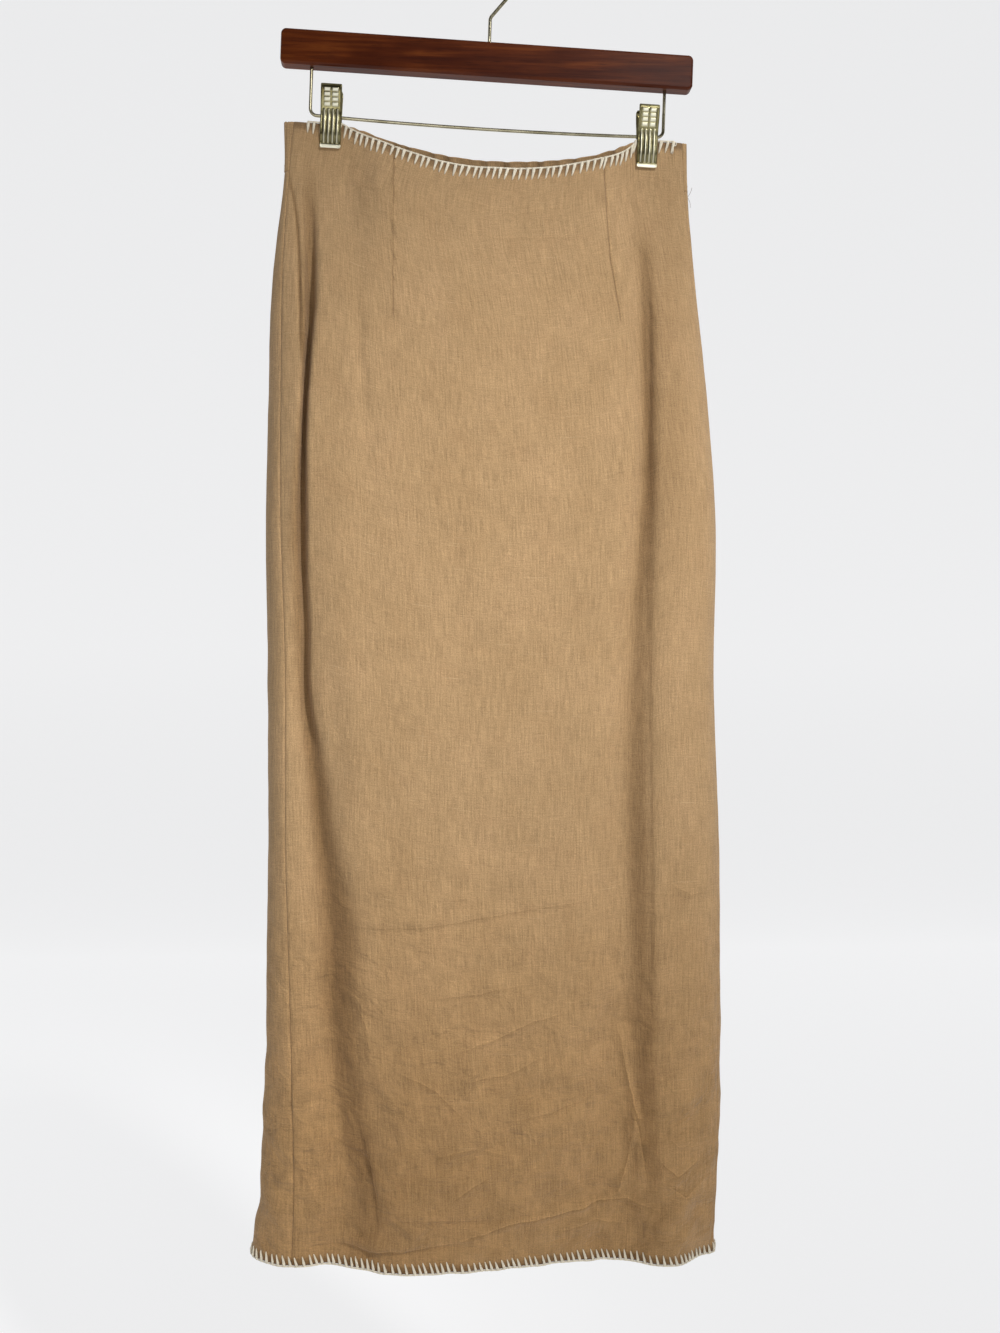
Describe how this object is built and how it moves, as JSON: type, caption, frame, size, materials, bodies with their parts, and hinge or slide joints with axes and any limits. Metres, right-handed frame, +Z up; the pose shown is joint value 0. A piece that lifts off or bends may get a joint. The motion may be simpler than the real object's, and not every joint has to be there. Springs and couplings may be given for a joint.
{
  "type": "maxi skirt on clip hanger",
  "caption": "Straight maxi skirt in linen, blanket-stitched round the front waist and hem, with an elastic back waist, hung from a wooden clip hanger.",
  "frame": {"origin": "the point inside the top of the hook that bears on the rail it hangs from", "axes": "+Z up, -Y is the way the skirt's front faces, +X to the right as seen from the front"},
  "size_m": [0.4108, 0.0579, 1.1292],
  "materials": {
    "linen": "plain-weave tan linen, matt and slightly slubbed",
    "yarn": "soft cream embroidery yarn",
    "wood": "dark red-brown stain under clear varnish",
    "brass": "pale gold plating on steel, bright"
  },
  "bodies": {
    "root": {"front_panel": "linen", "back_panel": "linen", "back_waistband": "linen", "waist_blanket_stitch": "yarn", "hem_blanket_stitch": "yarn", "hanger_bar": "wood", "hanger_hook": "brass", "clip_rail": "brass", "left_clip_front_leaf": "brass", "left_clip_rear_leaf": "brass", "left_clip_spring": "brass", "right_clip_front_leaf": "brass", "right_clip_rear_leaf": "brass", "right_clip_spring": "brass"}
  },
  "joints": []
}
